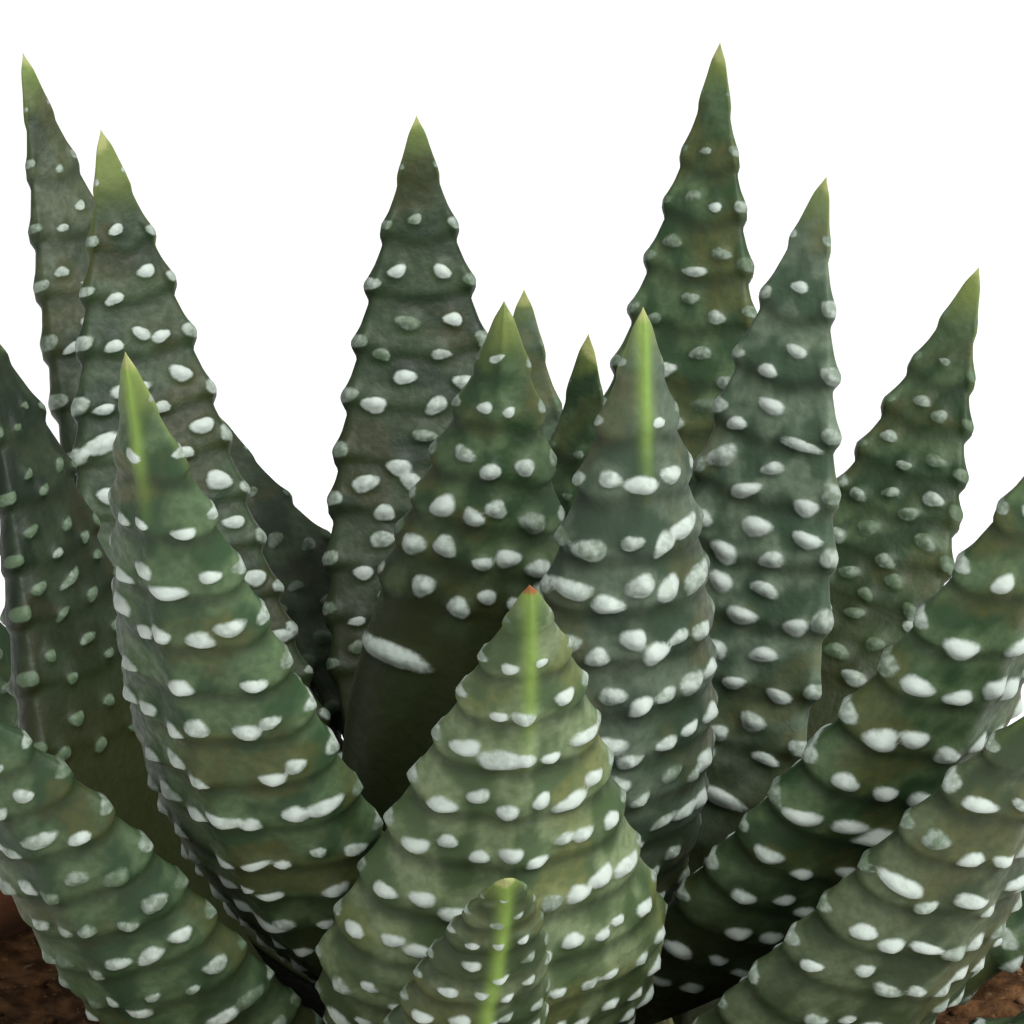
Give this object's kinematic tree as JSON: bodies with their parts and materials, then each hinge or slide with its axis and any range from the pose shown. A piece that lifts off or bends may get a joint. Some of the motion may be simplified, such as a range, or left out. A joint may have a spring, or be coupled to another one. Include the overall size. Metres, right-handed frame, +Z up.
{
  "type": "potted gasteria",
  "caption": "Rosette succulent with thick pointed keeled leaves covered in raised white knobs, in a plain round terracotta pot of soil.",
  "frame": {"origin": "centre of the pot's flat underside", "axes": "+Z up out of the pot, -Y towards the side that the picture shows, +X to that view's right"},
  "size_m": [0.112, 0.112, 0.1665],
  "materials": {
    "terracotta": "fired clay, matte",
    "potting_soil": "moist soil, matte",
    "crown_flesh": "plant flesh, matte",
    "leaf_green": "waxy leaf, satin"
  },
  "bodies": {
    "root": {"pot": "terracotta", "soil": "potting_soil", "crown": "crown_flesh", "heart_leaf_back": "leaf_green", "heart_leaf_right": "leaf_green", "inner_leaf_left": "leaf_green", "inner_leaf_back_right": "leaf_green", "inner_leaf_right": "leaf_green", "inner_leaf_front": "leaf_green", "middle_leaf_back": "leaf_green", "middle_leaf_left": "leaf_green", "middle_leaf_right": "leaf_green", "middle_leaf_front_right": "leaf_green", "middle_leaf_front_left": "leaf_green", "middle_leaf_front": "leaf_green", "outer_leaf_back_left": "leaf_green", "outer_leaf_left": "leaf_green", "outer_leaf_front_left": "leaf_green", "outer_leaf_front_right": "leaf_green", "outer_leaf_front": "leaf_green", "outer_leaf_far_right": "leaf_green", "outer_leaf_back_right": "leaf_green", "outer_leaf_back": "leaf_green", "low_leaf_back_left": "leaf_green", "low_leaf_left": "leaf_green", "low_leaf_back": "leaf_green", "low_leaf_back_right": "leaf_green", "low_leaf_right": "leaf_green", "low_leaf_front_right": "leaf_green", "low_leaf_front": "leaf_green"}
  },
  "joints": []
}
